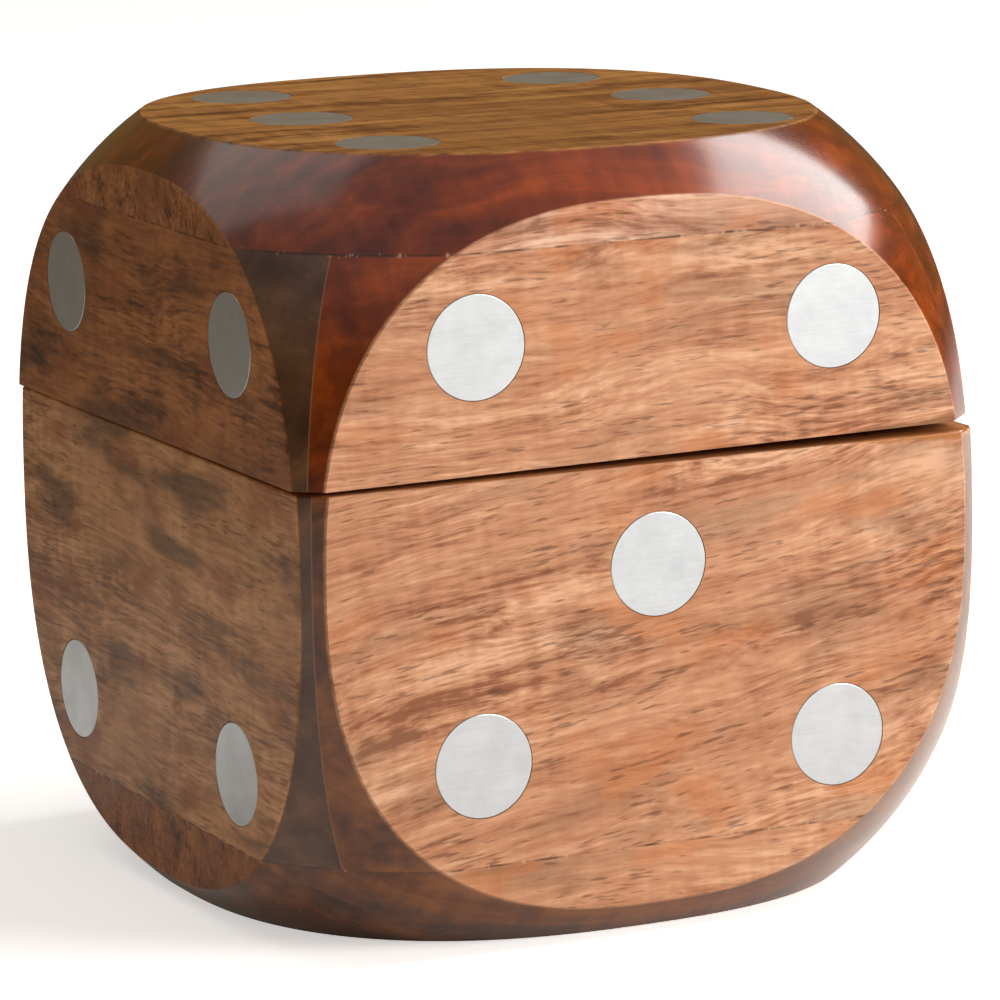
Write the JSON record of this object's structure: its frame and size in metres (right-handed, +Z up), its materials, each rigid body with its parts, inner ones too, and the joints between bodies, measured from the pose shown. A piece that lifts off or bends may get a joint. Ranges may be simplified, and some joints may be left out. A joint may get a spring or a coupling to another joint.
{
  "type": "dice box",
  "caption": "Die-shaped wooden box with inlaid round metal pips and a lid hinged at the back, hollow inside to hold dice.",
  "frame": {"origin": "centre of the flat bottom that the box stands on, between the flat side faces of the base", "axes": "+Z up, the front face with five pips looks along -Y, the hinges are at +Y, +X is the right-hand side seen from the front"},
  "size_m": [0.0905, 0.0956, 0.0945],
  "materials": {
    "wall_wood": "polished, lightly figured brown hardwood",
    "board_wood": "polished, dark striped brown hardwood",
    "pip_metal": "satin, sanded flush",
    "hinge_brass": "satin"
  },
  "bodies": {
    "base": {"base_bottom_board": "board_wood", "base_front_wall": "wall_wood", "base_back_wall": "wall_wood", "base_left_wall": "wall_wood", "base_right_wall": "wall_wood", "front_lower_pips": "pip_metal", "left_lower_pips": "pip_metal", "right_lower_pips": "pip_metal", "back_lower_pip": "pip_metal", "bottom_pip": "pip_metal", "hinge_base_leaves": "hinge_brass", "hinge_pins": "hinge_brass", "base_leaf_nails": "hinge_brass"},
    "lid": {"lid_top_board": "board_wood", "lid_front_wall": "wall_wood", "lid_back_wall": "wall_wood", "lid_left_wall": "wall_wood", "lid_right_wall": "wall_wood", "front_upper_pips": "pip_metal", "left_upper_pips": "pip_metal", "right_upper_pips": "pip_metal", "back_upper_pip": "pip_metal", "top_pips": "pip_metal", "hinge_lid_leaves": "hinge_brass", "lid_leaf_nails": "hinge_brass"}
  },
  "joints": [
    {"name": "lid_hinge", "type": "hinge", "parent": "base", "child": "lid", "pos_m": [0, 0.0478, 0.0572], "axis": [-1, 0, 0], "range_deg": [0, 180]}
  ]
}
